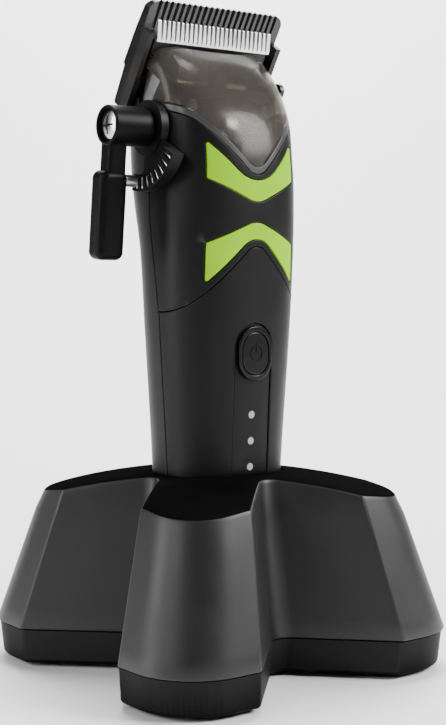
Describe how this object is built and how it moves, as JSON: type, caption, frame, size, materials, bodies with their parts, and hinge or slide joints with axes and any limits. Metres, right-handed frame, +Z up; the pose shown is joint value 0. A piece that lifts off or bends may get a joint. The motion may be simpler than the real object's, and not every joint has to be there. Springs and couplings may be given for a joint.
{
  "type": "hair clipper",
  "caption": "Cordless hair clipper with taper lever, smoked lid and coated blade, standing in a cross-shaped charging stand.",
  "frame": {"origin": "on the resting surface, under the middle of the stand", "axes": "+Z up, the clipper front and its button face -Y, the taper lever is on the -X side"},
  "size_m": [0.1012, 0.1012, 0.1836],
  "materials": {
    "casing_charcoal": "satin charcoal, fine grain",
    "accent_green": "gloss lime green",
    "lid_smoke": "smoke-tinted clear plastic",
    "gloss_black": "gloss black",
    "stand_black": "satin black, fine grain",
    "blade_dlc": "black hard coating on steel",
    "cutter_steel": "ground bright steel",
    "lever_black": "satin black",
    "steel_bright": "bright plated steel",
    "steel_plate": "brushed steel",
    "chassis_black": "moulded black frame",
    "laminations": "stacked laminations",
    "copper": "enamelled copper winding",
    "magnet": "nickel-plated magnets",
    "board_green": "solder mask",
    "light_diffuser": "pale diffusing plastic",
    "cell_wrap": "shrink wrap",
    "contact_gold": "gold plated",
    "rubber_black": "soft black rubber"
  },
  "bodies": {
    "stand": {"stand_shell": "stand_black", "stand_base": "stand_black", "stand_feet": "rubber_black", "stand_screws": "steel_bright", "ballast_plate": "steel_plate", "stand_board": "board_green", "pin_block": "chassis_black", "pin_springs": "steel_bright", "inlet_socket": "steel_plate"},
    "charge_pins": {"charge_pins": "contact_gold"},
    "clipper": {"rear_shell": "casing_charcoal", "front_shell": "casing_charcoal", "lower_cover": "casing_charcoal", "lid_bezel": "casing_charcoal", "upper_accent": "accent_green", "lower_accent": "accent_green", "control_strip": "casing_charcoal", "status_lights": "light_diffuser", "lid": "lid_smoke", "side_plates": "steel_plate", "chassis": "chassis_black", "lid_screws": "steel_plate", "side_screw": "steel_bright", "motor_core": "laminations", "motor_coil": "copper", "pivot_pin": "steel_bright", "detent_plate": "lever_black", "detent_rack": "steel_bright", "button_ring": "gloss_black", "main_board": "board_green", "tact_switch": "chassis_black", "light_emitters": "light_diffuser", "battery_cell": "cell_wrap", "battery_cradle": "chassis_black", "charge_contacts": "contact_gold", "charge_socket": "steel_plate", "casing_screws": "steel_plate", "tension_spring": "steel_bright"},
    "taper_lever": {"taper_lever": "lever_black", "lever_shaft": "steel_bright", "lever_screw": "steel_bright", "plunger_spring": "steel_bright"},
    "detent_plunger": {"detent_plunger": "steel_plate"},
    "blade_set": {"fixed_blade": "blade_dlc", "blade_carrier": "chassis_black", "blade_screws": "steel_plate"},
    "cutter": {"cutter_blade": "cutter_steel", "cutter_holder": "chassis_black"},
    "armature": {"armature": "chassis_black", "armature_magnets": "magnet"},
    "power_button": {"power_button": "gloss_black"}
  },
  "joints": [
    {"name": "lift_out", "type": "slide", "parent": "stand", "child": "clipper", "axis": [0, 0, 1], "range_m": [0, 0.05]},
    {"name": "taper_swing", "type": "hinge", "parent": "clipper", "child": "taper_lever", "pos_m": [-0.03, 0.001, 0.149], "axis": [-1, 0, 0], "range_deg": [0, 45]},
    {"name": "blade_shift", "type": "slide", "parent": "clipper", "child": "blade_set", "axis": [0, 0.5299, -0.848], "range_m": [0, 0.0023]},
    {"name": "armature_rock", "type": "hinge", "parent": "clipper", "child": "armature", "pos_m": [0, 0.0005, 0.138], "axis": [0, 1, 0], "range_deg": [-2.8, 2.8]},
    {"name": "cutter_stroke", "type": "slide", "parent": "clipper", "child": "cutter", "axis": [1, 0, 0], "range_m": [-0.0015, 0.0015]},
    {"name": "button_press", "type": "slide", "parent": "clipper", "child": "power_button", "axis": [0, 1, 0], "range_m": [0, 0.0008], "stiffness_N_per_m": 500},
    {"name": "pin_press", "type": "slide", "parent": "stand", "child": "charge_pins", "axis": [0, 0, -1], "range_m": [0, 0.0012], "stiffness_N_per_m": 300, "deforming": ["pin_springs"]},
    {"name": "plunger_press", "type": "slide", "parent": "taper_lever", "child": "detent_plunger", "axis": [-1, 0, 0], "range_m": [0, 0.0005], "stiffness_N_per_m": 400, "deforming": ["plunger_spring"]}
  ],
  "couplings": [
    {"joint": "taper_swing", "follows": "blade_shift", "rad_per_m": 341.4},
    {"joint": "armature_rock", "follows": "cutter_stroke", "rad_per_m": 32.5}
  ]
}
